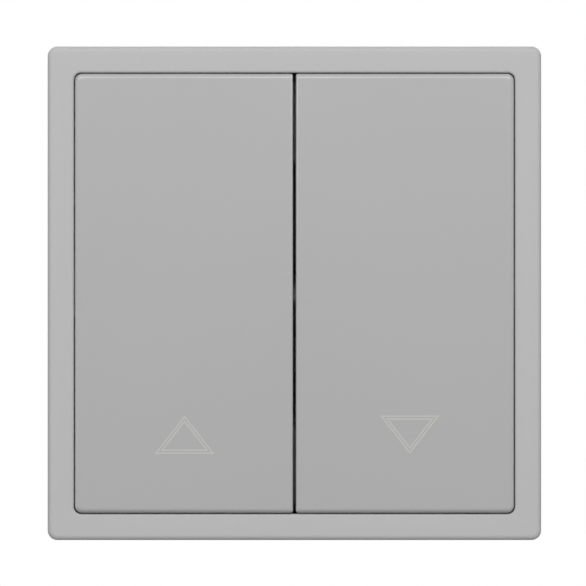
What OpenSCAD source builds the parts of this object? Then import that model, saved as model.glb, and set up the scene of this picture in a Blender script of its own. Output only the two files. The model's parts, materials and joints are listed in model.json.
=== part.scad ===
// Flush roller shutter switch: two push rockers, up and down, in one square cover frame.
// Every sub-part is drawn as it is seen from the room: x to the right, y up, z out of the wall.
// in_wall() stands that drawing up, so that the front faces -Y and +Z is up.
// z = 0 is the wall plane, where the support plate and the cover frame rest.

/* [Cover frame] */
// Width and height of the square frame
frame_size = 81; // [80:0.5:88]
// Height of the frame's face above the wall
frame_depth = 9; // [8.6:0.1:11]
// Radius of the frame's outer corners
frame_corner_r = 1.6; // [1.2:0.1:3]
// Rounding of the frame's outer front edge
frame_edge_r = 0.9; // [0.4:0.1:1]
// Rounding of the edge around the opening
mouth_r = 0.4; // [0.2:0.05:0.6]
// Thickness of the frame's face
frame_face_t = 1.8; // [1.4:0.1:2.4]
// Thickness of the frame's outer and inner walls
frame_wall = 1.3; // [1:0.1:1.5]
// Thickness of the ribs that tie the two walls together
frame_rib_t = 0.9; // [0.6:0.1:1.4]
// Ribs along each side of the frame
frame_ribs = 6; // [4:1:8]
// Width of the lip that rests on the support plate
lip_w = 1.5; // [1.2:0.1:1.8]
// Thickness of that lip
lip_t = 0.8; // [0.6:0.1:0.9]

/* [Rockers] */
// Width and height of the field that both rockers fill
rocker_field = 72; // [70:0.5:73]
// Gap between the rockers and the frame's inner wall, where a pressed rocker swings
running_gap = 0.3; // [0.26:0.02:0.5]
// Gap between the rockers and the frame at its front
mouth_gap = 0.14; // [0.12:0.01:0.2]
// Gap between the two rockers
centre_gap = 0.46; // [0.4:0.02:0.8]
// Height of the rockers' faces above the frame's face
rocker_proud = 0.8; // [0.4:0.1:1]
// Height of a rocker's side walls, face included
rocker_skirt = 4; // [3.8:0.1:4.4]
// Thickness of a rocker's side walls
rocker_wall = 1.3; // [1:0.1:1.6]
// Thickness of a rocker's face
rocker_face_t = 1.7; // [1.4:0.05:1.8]
// Radius of the field's outer corners
rocker_corner_r = 1.15; // [0.9:0.05:1.6]
// Rounding of the rockers' outer front edges
rocker_edge_r = 0.8; // [0.3:0.05:0.85]
// Rounding of the front edges along the centre gap
centre_edge_r = 0.4; // [0.2:0.05:0.6]
// Radius of the corners at the centre gap
centre_corner_r = 0.5; // [0.3:0.05:0.9]
// Angle through which a rocker is pressed
press_angle = 4.5; // [3.5:0.1:4.8]
// Depth of the rocking axis behind the rockers' faces
pivot_drop = 4.8; // [4.7:0.05:5]

/* [Support plate] */
// Thickness of the steel plate
plate_t = 1.2; // [1:0.1:1.4]
// Radius of the plate's corners
plate_corner_r = 4; // [2:0.5:8]
// Gap between the plate's edge and the frame around it
plate_gap = 0.8; // [0.6:0.1:1]
// Distance between opposite box screws
box_pitch = 60; // [59.6:0.1:60.4]
// Width of the slots for the box screws
slot_w = 4.2; // [3.6:0.1:4.6]
// Length of the slots for the box screws
slot_l = 7; // [5.6:0.1:7.2]
// Distance between the corner holes for wood screws
corner_pitch = 52; // [50:0.5:54]
// Radius of the corner holes
corner_hole_r = 1.7; // [1.5:0.1:2]
// Width of the plate's rim over the housing's side walls
rim_lap = 2.1; // [1.8:0.1:2.3]

/* [Frame springs] */
// Thickness of the spring steel
spring_t = 0.5; // [0.4:0.05:0.6]
// Height of the bowed leaf that grips the frame
leaf_h = 2; // [1.6:0.1:2.2]
// Half the length of the bow
bow_half = 10; // [8:0.5:11]
// Length of the feet at both ends of the bow
foot_l = 6; // [5:0.5:7]
// Width of the feet
foot_w = 4.6; // [4:0.2:5]
// Depth of the groove that the bow snaps into
detent_d = 0.25; // [0.2:0.05:0.4]

/* [Housing] */
// Width of the housing
housing_w = 39; // [38.6:0.1:39.4]
// Height of the housing
housing_h = 44; // [43.6:0.1:44.6]
// Depth of the housing behind the wall plane
housing_depth = 24; // [23.4:0.1:28]
// Thickness of its side walls
housing_wall = 1.5; // [1.3:0.1:1.6]
// Thickness of its rear wall
housing_floor = 1.8; // [1.5:0.1:2.2]
// Radius of its corners
housing_corner_r = 3; // [2:0.25:3.5]
// Rounding of its rear edge
housing_edge_r = 1; // [0.5:0.1:1.6]
// Thickness of the walls between the chambers
web_t = 1; // [0.8:0.1:1.1]

/* [Bearing cover] */
// Thickness of the cover's flange in front of the plate
flange_t = 1.6; // [1.4:0.1:1.7]
// Depth of the collar that reaches through the plate
collar_h = 3.7; // [3:0.1:4.5]
// Thickness of the collar
collar_t = 1.2; // [1:0.1:1.4]
// Thickness of the bearing ears
ear_t = 1.8; // [1.4:0.1:2]
// Radius of the ears around the pivot pin
ear_r = 2.3; // [2:0.1:2.4]
// Radius of the screws that hold the cover
cover_screw_r = 1.05; // [0.9:0.05:1.1]

/* [Actuators] */
// Distance of each pole from the centre line
pole_x = 8.8; // [8.7:0.05:8.9]
// Radius of the steel pivot pin
pin_r = 1; // [0.9:0.05:1.1]
// Radius of the actuators' hubs
hub_r = 2; // [1.8:0.05:2.05]
// Thickness of the platform that carries the rocker
platform_t = 1.4; // [1.2:0.05:1.45]
// Half the length of that platform
platform_half = 13.8; // [13.5:0.1:14.2]
// Radius of the barrel that guides the plunger
barrel_r = 2.9; // [2.7:0.05:3]
// Length of the barrel below the rocking axis
barrel_l = 14; // [13:0.5:14.5]
// Radius of the sprung plunger
plunger_r = 1.95; // [1.8:0.05:2]
// Radius of the plunger's nose
nose_r = 1.2; // [1:0.05:1.4]
// Distance of the return spring from the rocking axis
return_y = 9; // [8.8:0.1:9.2]

/* [Contacts] */
// Thickness of the brass contact strips
strip_t = 0.8; // [0.6:0.05:0.9]
// Width of the brass contact strips
strip_w = 5; // [4.6:0.1:5.2]
// Distance of the contact tips from the seesaw's knife edge
contact_arm = 7; // [6.6:0.1:7.2]
// Angle by which the seesaw leans to either side
flip_angle = 6.75; // [6:0.25:7]
// Radius of the silver contact tips
tip_r = 1.3; // [1.1:0.05:1.4]
// Height of the silver contact tips
tip_h = 0.8; // [0.6:0.05:0.9]
// Radius of the seesaw's knife edge
knife_r = 0.6; // [0.5:0.05:0.65]

/* [Terminals] */
// Radius of a wire port
port_r = 1.7; // [1.5:0.05:1.75]
// Depth of a wire port
port_depth = 3; // [2.4:0.1:3.4]
// Distance between the two ports of a terminal
port_pitch = 4.1; // [3.9:0.05:4.2]
// How far the port blocks stand out of the rear wall
port_proud = 0.4; // [0.2:0.1:0.8]
// Travel of a release button
release_travel = 1.2; // [1:0.1:1.4]

/* [Claws] */
// Radius of the claw screws
claw_screw_r = 1.5; // [1.3:0.05:1.55]
// Length of the claw screws behind the wall plane
claw_screw_l = 21; // [20:0.5:22]
// Distance from the wall plane to a claw's pivot when it is tight
claw_tight = 7; // [6.5:0.25:7.5]
// Travel of a claw along its screw
claw_travel = 6; // [4:0.5:6.5]
// Thickness of the claws' steel
claw_t = 1; // [0.8:0.1:1.1]
// Length of a claw behind its pivot
claw_l = 9.5; // [8:0.5:10.5]
// How far the teeth stand out of a claw
tooth_out = 2; // [1.2:0.2:2.4]

/* [Clearances] */
// Radial clearance of a part that turns or slides
running_fit = 0.05; // [0.03:0.01:0.08]
// Gap between parts that seat on each other
seat_gap = 0.05; // [0.02:0.01:0.1]
// Side play between parts that are put together by hand
side_play = 0.3; // [0.2:0.05:0.35]

/* [Hidden] */
$fn = 48;
// Overshoot of a cut past the face that it opens
cut = 0.5;
// Overlap of pieces that are joined
lap = 0.2;
// Space between walls that pass each other
clear = 0.2;
// Gap around rivets, pins and screws that are pressed in
press_gap = 0.02;

// Heights above the wall plane
front_z = frame_depth + rocker_proud;
skirt_z = front_z - rocker_skirt;
ceiling_z = front_z - rocker_face_t;
pivot_z = front_z - pivot_drop;
flange_z = plate_t + flange_t;
lip_top = plate_t + seat_gap + lip_t;
leaf_z = lip_top + 0.15;
rail_h = 0.7;
platform_top = ceiling_z - rail_h;
platform_z = platform_top - platform_t;
centre_wall_z = platform_top + clear;
floor_z = housing_floor - housing_depth;

// Cups for the return springs, and the ends of both kinds of spring
cup_r = 2.3;
cup_t = 0.7;
cup_z = pivot_z - 9.5;
spring_play = 0.03;
// Distance from the rocking axis to the end of the plunger's bore
bore_top = 3.5;
// Guided length of the plunger inside its barrel
plunger_in = 5;

// Opening of the frame and the plate inside it
opening = rocker_field + 2 * running_gap;
opening_r = rocker_corner_r + running_gap / 2;
plate_size = opening - 2 * plate_gap;
hole_w = housing_w - 2 * rim_lap;
hole_h = housing_h - 2 * (rim_lap + side_play);
rocker_w = (rocker_field - centre_gap) / 2;

// Feet of the frame springs stand beside the frame's lip
rivet_r = 0.8;
foot_x = opening / 2 - lip_w - clear;
foot_mid = bow_half + foot_l / 2;

// Contact heights, from the housing's floor up to the seesaw
pad_h = 1.9;
strip_z = floor_z + pad_h;
tip_top = strip_z + strip_t + tip_h;
dome_r = 2;
stem_r = 0.53;
contact_play = 0.08;
knife_z = tip_top + contact_play + dome_r + contact_arm * sin(flip_angle)
          - (dome_r - tip_h) * cos(flip_angle);

// The plunger's tip swings on this radius, and crosses the knife edge half way
nose_play = 0.1;
swing_r = pivot_z - knife_z - strip_t - nose_play;
knife_y = swing_r * sin(press_angle) / 2;
make_y = knife_y + contact_arm;
break_y = knife_y - contact_arm;

// Terminals stand behind a cross wall at the top of the housing
terminal_x = [-pole_x, 0, pole_x];
inner_y = housing_h / 2 - housing_wall;
bus_y = inner_y - side_play - strip_t / 2;
wire_r = 1.1;
port_y = bus_y - strip_t / 2 - 1;
tip_room = 4.4;
web_y = knife_y + contact_arm + tip_room;
riser_y = web_y - side_play - strip_t / 2;
bridge_z = -6;
web_top = bridge_z - strip_t / 2 - clear;
block_gap = 0.4;
block_rim = 0.3;
block_w = pole_x - 2 * block_gap;
block_h = 2 * (port_r + block_rim);
button_h = 2;
button_w = 4.8;
button_y = web_y + web_t + clear + button_h / 2;
bend_r = 0.85;
bend_z = floor_z + 2.7;

// Interlock link: its bar below the poles, and its run beside the centre wall
link_w = 3;
link_bar_y = [break_y - 6.3, break_y - 6.3 + link_w];
link_run_x = [web_t / 2 + 0.7, web_t / 2 + 0.7 + link_w];

// Claws stand beside the housing
nut_w = 4.4;
nut_h = 5.2;
nut_t = 3.2;
claw_gap = 1.1;
claw_x = housing_w / 2 + claw_gap + nut_w / 2;
claw_drop = claw_tight + claw_travel;
trunnion_r = 1;
cheek_gap = 0.15;

// Screws that clamp the cover, the plate and the housing
cover_screw_l = 9;
boss_r = 2.1;
screw_spot = [hole_w / 2 - boss_r, hole_h / 2 - boss_r - side_play];

// Stands the drawing up in the wall
module in_wall() {
    rotate([90, 0, 0]) children();
}

// Copies to both sides of the centre line
module both_sides() {
    children();
    mirror([1, 0, 0]) children();
}

// Copies to the four corners of a rectangle
module four_corners(spot) {
    for (sx = [-1, 1], sy = [-1, 1])
        translate([sx * spot[0], sy * spot[1], 0]) children();
}

// Outline of a rectangle with rounded corners
module round_rect(w, h, r) {
    square([w - 2 * r, h], center = true);
    square([w, h - 2 * r], center = true);
    four_corners([w / 2 - r, h / 2 - r]) circle(r);
}

// Block between two values on each axis
module box(x, y, z) {
    translate([x[0], y[0], z[0]]) cube([x[1] - x[0], y[1] - y[0], z[1] - z[0]]);
}

// Section of an edge that is rounded at its top
module rounded_edge(reach, height, r) {
    square([reach - r, height]);
    square([reach, height - r]);
    translate([reach - r, height - r]) intersection() {
        circle(r);
        square(r);
    }
}

// Section of a cutter whose mouth flares open at its top
module flared_edge(reach, height, r) {
    square([reach, height]);
    translate([reach, height - r]) difference() {
        square(r);
        translate([r, 0]) circle(r);
    }
}

// Block whose rim has the section given as a child, on the sides and round the corners
module rimmed_block(w, h, r, height) {
    translate([r - w / 2, r - h / 2, 0]) cube([w - 2 * r, h - 2 * r, height]);
    for (side = [0:3]) {
        run = side % 2 == 0 ? h - 2 * r : w - 2 * r;
        reach = side % 2 == 0 ? w / 2 - r : h / 2 - r;
        rotate([0, 0, 90 * side]) translate([reach, run / 2, 0]) {
            rotate([90, 0, 0]) linear_extrude(run) children();
            rotate_extrude(angle = 90) children();
        }
    }
}

// Bar along x with the section given as a child, drawn as (y, z)
module along_x(from, to) {
    translate([from, 0, 0]) rotate([90, 0, 90]) linear_extrude(to - from) children();
}

// Bar along y with the section given as a child, drawn as (x, z)
module along_y(from, to) {
    translate([0, to, 0]) rotate([90, 0, 0]) linear_extrude(to - from) children();
}

// Sheet strip of thickness t bent along a line of points
module bent_strip(points, t) {
    for (i = [1:len(points) - 1]) {
        a = points[i - 1];
        b = points[i];
        translate(a) rotate(atan2(b[1] - a[1], b[0] - a[0]))
            translate([0, -t / 2]) square([norm(b - a), t]);
        translate(b) circle(t / 2);
    }
}

// Helical spring along z with closed ends, swept as one mesh
module coil(mean_r, wire_r, turns, height) {
    sides = 8;
    per_turn = 14;
    steps = turns * per_turn;
    rise = height - 2 * wire_r;
    closed = 0.8;
    pitch_end = 2.1 * wire_r;
    pitch_mid = (rise - 2 * closed * pitch_end) / (turns - 2 * closed);
    function lift(t) =
        t < closed ? t * pitch_end
        : t > turns - closed ? rise - (turns - t) * pitch_end
        : closed * pitch_end + (t - closed) * pitch_mid;
    points = [for (i = [0:steps], k = [0:sides - 1])
        let (t = i / per_turn, turn = 360 * t, round_k = 360 * k / sides,
             reach = mean_r + wire_r * cos(round_k))
        [reach * cos(turn), reach * sin(turn), wire_r + lift(t) + wire_r * sin(round_k)]];
    tube = [for (i = [0:steps - 1], k = [0:sides - 1])
        let (a = i * sides + k, b = i * sides + (k + 1) % sides)
        [a, a + sides, b + sides, b]];
    caps = [[for (k = [0:sides - 1]) k], [for (k = [sides - 1:-1:0]) steps * sides + k]];
    polyhedron(points, concat(tube, caps));
}

// Square cover frame: a hollow moulding with ribs between its outer and inner wall
module cover_frame() {
    color("#d3d3d2") in_wall() {
        difference() {
            rimmed_block(frame_size, frame_size, frame_corner_r, frame_depth)
                rounded_edge(frame_corner_r, frame_depth, frame_edge_r);
            translate([0, 0, -cut]) rimmed_block(opening, opening, opening_r, frame_depth + cut)
                mouth_section();
            for (side = [0:3]) rotate([0, 0, 90 * side]) frame_pockets();
            both_sides() frame_detent();
        }
        frame_lip();
    }
}

// Section of the opening's cutter: its wall closes in behind the flared front edge
module mouth_section() {
    draft_h = 2.4;
    height = frame_depth + cut;
    narrow = opening_r - running_gap + mouth_gap;
    top = height - mouth_r;
    polygon([[0, 0], [opening_r, 0], [opening_r, top - draft_h], [narrow, top], [0, top]]);
    translate([0, top - lap]) flared_edge(narrow, mouth_r + lap, mouth_r);
}

// Pockets between the ribs along one side; the corners stay solid
module frame_pockets() {
    inner_x = opening / 2 + frame_wall;
    outer_x = frame_size / 2 - frame_wall;
    last_y = inner_x - frame_rib_t;
    rib_step = frame_size / frame_ribs;
    for (i = [0:frame_ribs - 1]) {
        low = max(-last_y, -frame_size / 2 + i * rib_step + frame_rib_t / 2);
        high = min(last_y, -frame_size / 2 + (i + 1) * rib_step - frame_rib_t / 2);
        box([inner_x, outer_x], [low, high], [-cut, frame_depth - frame_face_t]);
    }
}

// Lip around the opening that rests on the support plate
module frame_lip() {
    lip_corner_r = 1;
    translate([0, 0, plate_t + seat_gap]) linear_extrude(lip_t) difference() {
        square(opening + frame_wall, center = true);
        round_rect(opening - 2 * lip_w, opening - 2 * lip_w, lip_corner_r);
    }
}

// Groove in the frame's inner wall where a spring's bow rests
module frame_detent() {
    box([opening / 2 - cut, opening / 2 + detent_d], [-0.6 * bow_half, 0.6 * bow_half],
        [lip_top, leaf_z + leaf_h + side_play]);
}

// Right-hand rocker's shell: rounded wide on its outer edges, finely along the centre gap
module rocker_shell() {
    inner_x = centre_gap / 2;
    outer = rocker_field / 2;
    difference() {
        intersection() {
            translate([0, 0, skirt_z])
                rimmed_block(rocker_field, rocker_field, rocker_corner_r, rocker_skirt)
                    rounded_edge(rocker_corner_r, rocker_skirt, rocker_edge_r);
            along_y(-rocker_field, rocker_field) translate([outer + cut, skirt_z - cut])
                mirror([1, 0, 0])
                    rounded_edge(outer + cut - inner_x, rocker_skirt + cut, centre_edge_r);
            translate([inner_x + outer, 0, skirt_z - cut]) linear_extrude(rocker_skirt + 2 * cut)
                round_rect(rocker_field, rocker_field, centre_corner_r);
        }
        rocker_hollow();
    }
}

// Hollow behind the face; the wall at the centre gap is cut short above the bearing
module rocker_hollow() {
    inner_x = centre_gap / 2;
    inner_y = rocker_field / 2 - rocker_wall;
    hollow_r = 0.8;
    translate([inner_x + rocker_w / 2, 0, skirt_z - cut])
        linear_extrude(rocker_skirt + cut - rocker_face_t)
            round_rect(rocker_w - 2 * rocker_wall, 2 * inner_y, hollow_r);
    box([inner_x - cut, inner_x + rocker_wall + cut], [-inner_y, inner_y],
        [skirt_z - cut, centre_wall_z]);
}

// Shallow ribs behind the face
module rocker_ribs() {
    rib_t = 0.9;
    rib_h = 1.4;
    past_ear = 2 * pole_x + ear_t / 2;
    upright_x = [past_ear + 2.6, past_ear + 10];
    level_y = [18.6, 27.5];
    inner_x = centre_gap / 2 + rocker_wall - lap;
    outer_x = rocker_field / 2 - rocker_wall + lap;
    reach_y = rocker_field / 2 - rocker_wall + lap;
    levels = [ceiling_z - rib_h, ceiling_z + lap];
    for (x = upright_x)
        box([x, x + rib_t], [-reach_y, reach_y], levels);
    for (y = level_y, side = [-1, 1])
        box([inner_x, outer_x], [side * y - rib_t / 2, side * y + rib_t / 2], levels);
}

// Rails that rest on the actuator's platform, and the arms that snap under its ends
module rocker_seat() {
    rail_x = 5.4;
    rail_t = 1.2;
    rail_end = platform_half - 1;
    arm_w = 5;
    arm_t = 1.2;
    arm_y = platform_half + seat_gap;
    barb = 0.7;
    barb_h = 0.6;
    arm_low = platform_z - seat_gap - barb_h;
    for (side = [-1, 1]) translate([pole_x, 0, 0]) {
        box([side * rail_x - rail_t / 2, side * rail_x + rail_t / 2], [-rail_end, rail_end],
            [platform_top + seat_gap, ceiling_z + lap]);
        scale([1, side, 1]) {
            box([-arm_w / 2, arm_w / 2], [arm_y, arm_y + arm_t], [arm_low, ceiling_z + lap]);
            box([-arm_w / 2, arm_w / 2], [arm_y - barb, arm_y + lap], [arm_low, arm_low + barb_h]);
        }
    }
}

module rocker_body() {
    rocker_shell();
    rocker_ribs();
    rocker_seat();
}

module rocker_up() {
    color("#cacaca") in_wall() mirror([1, 0, 0]) rocker_body();
}

module rocker_down() {
    color("#cacaca") in_wall() rocker_body();
}

// Slot that runs along x, centred on the origin
module slot(length, width) {
    square([length - width, width], center = true);
    for (side = [-1, 1]) translate([side * (length - width) / 2, 0]) circle(width / 2);
}

// Steel plate that the box screws hold against the wall
module support_plate() {
    hole_corner_r = 1.5;
    claw_hole_r = claw_screw_r + 0.15;
    color("#b9bdc0") in_wall() linear_extrude(plate_t) difference() {
        round_rect(plate_size, plate_size, plate_corner_r);
        round_rect(hole_w, hole_h, hole_corner_r);
        for (side = [-1, 1]) {
            translate([side * box_pitch / 2, 0]) slot(slot_l, slot_w);
            translate([side * claw_x, 0]) circle(claw_hole_r);
        }
        four_corners([corner_pitch / 2, corner_pitch / 2]) circle(corner_hole_r);
        rivet_spots() circle(rivet_r + running_fit);
    }
}

// Places of the rivets that hold the frame springs
module rivet_spots() {
    four_corners([foot_x - foot_w / 2, foot_mid]) children();
}

// Bowed leaf spring beside the plate's edge, with a riveted foot at each end
module frame_spring() {
    sagitta = opening / 2 + detent_d - seat_gap - foot_x;
    bow_r = (bow_half * bow_half + sagitta * sagitta) / (2 * sagitta);
    leg_w = 1.6;
    in_wall() {
        translate([0, 0, leaf_z]) linear_extrude(leaf_h) intersection() {
            translate([foot_x + sagitta - bow_r, 0]) difference() {
                circle(bow_r, $fn = 180);
                circle(bow_r - spring_t, $fn = 180);
            }
            translate([foot_x - 2 * spring_t, -bow_half - lap])
                square([sagitta + 2 * spring_t + cut, 2 * (bow_half + lap)]);
        }
        for (side = [-1, 1]) {
            translate([foot_x - spring_t, side * (bow_half + leg_w / 2) - leg_w / 2, plate_t])
                cube([spring_t, leg_w, leaf_z + leaf_h - plate_t]);
            translate([0, 0, plate_t]) linear_extrude(spring_t) difference() {
                translate([foot_x - foot_w, side * foot_mid - foot_l / 2]) square([foot_w, foot_l]);
                translate([foot_x - foot_w / 2, side * foot_mid]) circle(rivet_r + running_fit);
            }
        }
    }
}

module frame_spring_left() {
    color("#a8adb2") mirror([1, 0, 0]) frame_spring();
}

module frame_spring_right() {
    color("#a8adb2") frame_spring();
}

module spring_rivets() {
    head_r = 1.4;
    head_h = 0.6;
    color("#9aa0a6") in_wall() rivet_spots() {
        cylinder(r = rivet_r, h = plate_t + spring_t + head_h / 2);
        translate([0, 0, plate_t + spring_t]) cylinder(r1 = head_r, r2 = 0.6 * head_r, h = head_h);
    }
}

// Rear housing: an open box with chambers for the contacts and the terminals
module base_housing() {
    color("#e7e7e2") in_wall() difference() {
        union() {
            housing_shell();
            housing_webs();
            housing_pads();
            four_corners(screw_spot) translate([0, 0, floor_z - cut])
                cylinder(r = boss_r, h = plate_t - seat_gap - floor_z + cut);
        }
        four_corners(screw_spot) translate([0, 0, plate_t - cover_screw_l - 1])
            cylinder(r = cover_screw_r + press_gap, h = cover_screw_l + 2);
        for (x = terminal_x) {
            box([x - block_w / 2 - seat_gap, x + block_w / 2 + seat_gap],
                [port_y - block_h / 2 - seat_gap, port_y + block_h / 2 + seat_gap],
                [-housing_depth - cut, floor_z + cut]);
            box([x - button_w / 2 - running_fit, x + button_w / 2 + running_fit],
                [button_y - button_h / 2 - running_fit, button_y + button_h / 2 + running_fit],
                [-housing_depth - cut, floor_z + cut]);
        }
    }
}

// Open box with rounded rear edges
module housing_shell() {
    inner_w = housing_w - 2 * housing_wall;
    inner_h = housing_h - 2 * housing_wall;
    inner_r = max(housing_corner_r - housing_wall, 0.5);
    difference() {
        mirror([0, 0, 1]) rimmed_block(housing_w, housing_h, housing_corner_r, housing_depth)
            rounded_edge(housing_corner_r, housing_depth, housing_edge_r);
        translate([0, 0, floor_z]) linear_extrude(cut - floor_z) round_rect(inner_w, inner_h, inner_r);
    }
}

// Walls between the two poles, and between the poles and the terminals
module housing_webs() {
    side_x = housing_w / 2 - housing_wall + lap;
    centre_y = riser_y - strip_t / 2 - 2.6;
    divider_t = 0.6;
    levels = [floor_z - lap, web_top];
    link_room = 0.3;
    difference() {
        box([-web_t / 2, web_t / 2], [-inner_y - lap, centre_y], levels);
        box([-web_t, web_t], [link_bar_y[0] - link_room, link_bar_y[1] + link_room],
            [strip_z - clear, strip_z + strip_t + clear]);
    }
    box([-side_x, side_x], [web_y, web_y + web_t], levels);
    for (side = [-1, 1]) translate([side * pole_x / 2, 0, 0])
        box([-divider_t / 2, divider_t / 2], [web_y, inner_y + lap], levels);
}

// Pads under the fixed contacts, guides beside the seesaws and the stop of the idle arm
module housing_pads() {
    pad = 3;
    guide = 1;
    guide_y = 2.4;
    guide_over = 0.8;
    bearing_pad = [3.6, 1.4];
    bar_inset = 0.4;
    guide_spot = [strip_w / 2 + side_play + guide / 2, guide_y];
    low = floor_z - lap;
    rise = strip_z - low;
    for (spot = [[-pole_x, make_y], [pole_x, make_y], [-pole_x, break_y]])
        translate([spot[0], spot[1], low]) linear_extrude(rise) square(pad, center = true);
    translate([pole_x, knife_y, low]) linear_extrude(rise) square(bearing_pad, center = true);
    box([link_run_x[0] + bar_inset, link_run_x[1] - bar_inset],
        [link_bar_y[0] + bar_inset, link_bar_y[1] - bar_inset], [low, strip_z]);
    for (side = [-1, 1]) translate([side * pole_x, knife_y, low]) four_corners(guide_spot)
        linear_extrude(knife_z + strip_t + guide_over - low) square(guide, center = true);
    translate([pole_x, break_y, low]) cylinder(r = tip_r, h = tip_top - low);
}

// Front cover with the bearing ears, the spring cups and the stops
module bearing_cover() {
    rim_inset = 0.4;
    flange_r = 2;
    screw_play = 0.25;
    color("#dcdcd6") in_wall() difference() {
        union() {
            translate([0, 0, plate_t]) linear_extrude(flange_t)
                round_rect(housing_w - 2 * rim_inset, housing_h - 3 * rim_inset, flange_r);
            cover_collar();
            for (side = [-1, 0, 1]) translate([side * 2 * pole_x, 0, 0]) bearing_ear();
            for (side = [-1, 1]) translate([side * pole_x, 0, 0]) {
                spring_cup();
                rest_stops();
            }
        }
        for (side = [-1, 1]) translate([side * pole_x, 0, 0]) {
            barrel_window();
            translate([0, -return_y, cup_z]) cylinder(r = cup_r, h = flange_z - cup_z + cut);
        }
        along_x(-housing_w, housing_w) translate([0, pivot_z]) circle(pin_r + press_gap);
        four_corners(screw_spot) translate([0, 0, plate_t - cut])
            cylinder(r = cover_screw_r + screw_play, h = flange_t + 2 * cut);
    }
}

// Collar that reaches through the plate, open at its corners and over the claws
module cover_collar() {
    outer_w = hole_w - 2 * clear;
    outer_h = hole_h - 2 * clear;
    corner = 4.9;
    translate([0, 0, plate_t - collar_h]) linear_extrude(collar_h + lap) difference() {
        square([outer_w, outer_h], center = true);
        square([outer_w - 2 * collar_t, outer_h - 2 * collar_t], center = true);
        four_corners([outer_w / 2, outer_h / 2]) square(2 * corner, center = true);
        square([housing_w, 2], center = true);
    }
}

// Ear with a round top about the pivot pin
module bearing_ear() {
    base_half = 3.6;
    shoulder_z = pivot_z - 0.6;
    along_x(-ear_t / 2, ear_t / 2) {
        translate([0, pivot_z]) circle(ear_r);
        translate([-ear_r, flange_z - lap]) square([2 * ear_r, pivot_z - flange_z + lap]);
        polygon([[-base_half, flange_z - lap], [base_half, flange_z - lap], [ear_r, shoulder_z],
                 [-ear_r, shoulder_z]]);
    }
}

// Cup that holds the return spring below the flange
module spring_cup() {
    translate([0, -return_y, cup_z - 1]) cylinder(r = cup_r + cup_t, h = flange_z - cup_z + 1);
}

// Posts that the platform meets at rest and when it is pressed
module rest_stops() {
    stop_x = 5.4;
    stop_y = 11.2;
    stop_r = 0.9;
    under = platform_z - pivot_z;
    pressed_z = pivot_z + under * cos(press_angle) - (stop_y + stop_r) * sin(press_angle) - seat_gap;
    for (side = [-1, 1]) translate([side * stop_x, 0, flange_z - lap]) {
        translate([0, stop_y, 0]) cylinder(r = stop_r, h = platform_z - seat_gap - flange_z + lap);
        translate([0, -stop_y, 0]) cylinder(r = stop_r, h = pressed_z - flange_z + lap);
    }
}

// Window that the barrel passes and swings in
module barrel_window() {
    swing = (pivot_z - plate_t) * sin(press_angle);
    room = barrel_r + 0.5;
    box([-room, room], [-room, room + swing], [plate_t - cut, flange_z + cut]);
}

// Cross recess in a screw head
module cross_recess(size, depth) {
    for (turn = [0, 90]) rotate(turn) cube([size, size / 4, 2 * depth], center = true);
}

module cover_screws() {
    head_r = 1.9;
    head_h = 1.2;
    color("#8d9297") in_wall() four_corners(screw_spot) difference() {
        union() {
            translate([0, 0, plate_t - cover_screw_l])
                cylinder(r = cover_screw_r, h = cover_screw_l + flange_t + lap);
            translate([0, 0, flange_z]) cylinder(r = head_r, h = head_h);
        }
        translate([0, 0, flange_z + head_h]) cross_recess(2.4, 0.7);
    }
}

module pivot_pin() {
    pin_end = 0.4;
    half = 2 * pole_x + ear_t / 2 + pin_end;
    color("#aab0b5") in_wall() along_x(-half, half) translate([0, pivot_z]) circle(pin_r);
}

// Inner rocker of one pole: hub, platform and the barrel for its plunger
module actuator() {
    half = pole_x - ear_t / 2 - side_play;
    bore_r = plunger_r + running_fit;
    platform_r = 1;
    stud_r = 1.2;
    stud_h = 1.8;
    window = [4.2, 5.2];
    window_y = 8.6;
    window_d = 0.6;
    in_wall() translate([pole_x, 0, 0]) difference() {
        union() {
            along_x(-half, half) translate([0, pivot_z]) {
                circle(hub_r);
                translate([-0.8 * hub_r, 0]) square([1.6 * hub_r, platform_z - pivot_z + lap]);
            }
            translate([0, 0, platform_z]) linear_extrude(platform_t)
                round_rect(2 * half, 2 * platform_half, platform_r);
            translate([0, 0, pivot_z - barrel_l])
                cylinder(r = barrel_r, h = barrel_l + platform_z - pivot_z + lap);
            translate([0, -return_y, platform_z - stud_h]) cylinder(r = stud_r, h = stud_h + lap);
        }
        translate([0, 0, pivot_z - barrel_l - cut])
            cylinder(r = bore_r, h = barrel_l + cut - bore_top);
        along_x(-half - cut, half + cut) translate([0, pivot_z]) circle(pin_r + running_fit);
        four_corners([half / 2, window_y]) translate([0, 0, platform_top - window_d])
            linear_extrude(window_d + cut) square(window, center = true);
    }
}

module actuator_up() {
    color("#c94f35") mirror([1, 0, 0]) actuator();
}

module actuator_down() {
    color("#c94f35") actuator();
}

// Spring between the cup and the platform
module return_spring() {
    mean_r = 1.75;
    wire_r = 0.25;
    turns = 7;
    in_wall() translate([pole_x, -return_y, cup_z + spring_play])
        coil(mean_r, wire_r, turns, platform_z - cup_z - 2 * spring_play);
}

module return_spring_up() {
    color("#c0c4c8") mirror([1, 0, 0]) return_spring();
}

module return_spring_down() {
    color("#c0c4c8") return_spring();
}

// Plunger with a round nose that runs on the seesaw
module plunger() {
    tip_z = pivot_z - swing_r;
    shoulder_out = 1.5;
    shoulder_z = pivot_z - barrel_l - shoulder_out;
    nose_z = tip_z + nose_r;
    top_z = pivot_z - barrel_l + plunger_in;
    in_wall() translate([pole_x, 0, 0]) {
        translate([0, 0, shoulder_z]) cylinder(r = plunger_r, h = top_z - shoulder_z);
        translate([0, 0, nose_z]) cylinder(r = nose_r, h = shoulder_z - nose_z + lap);
        translate([0, 0, nose_z]) sphere(nose_r);
    }
}

module plunger_up() {
    color("#ecebe4") mirror([1, 0, 0]) plunger();
}

module plunger_down() {
    color("#ecebe4") plunger();
}

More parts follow.
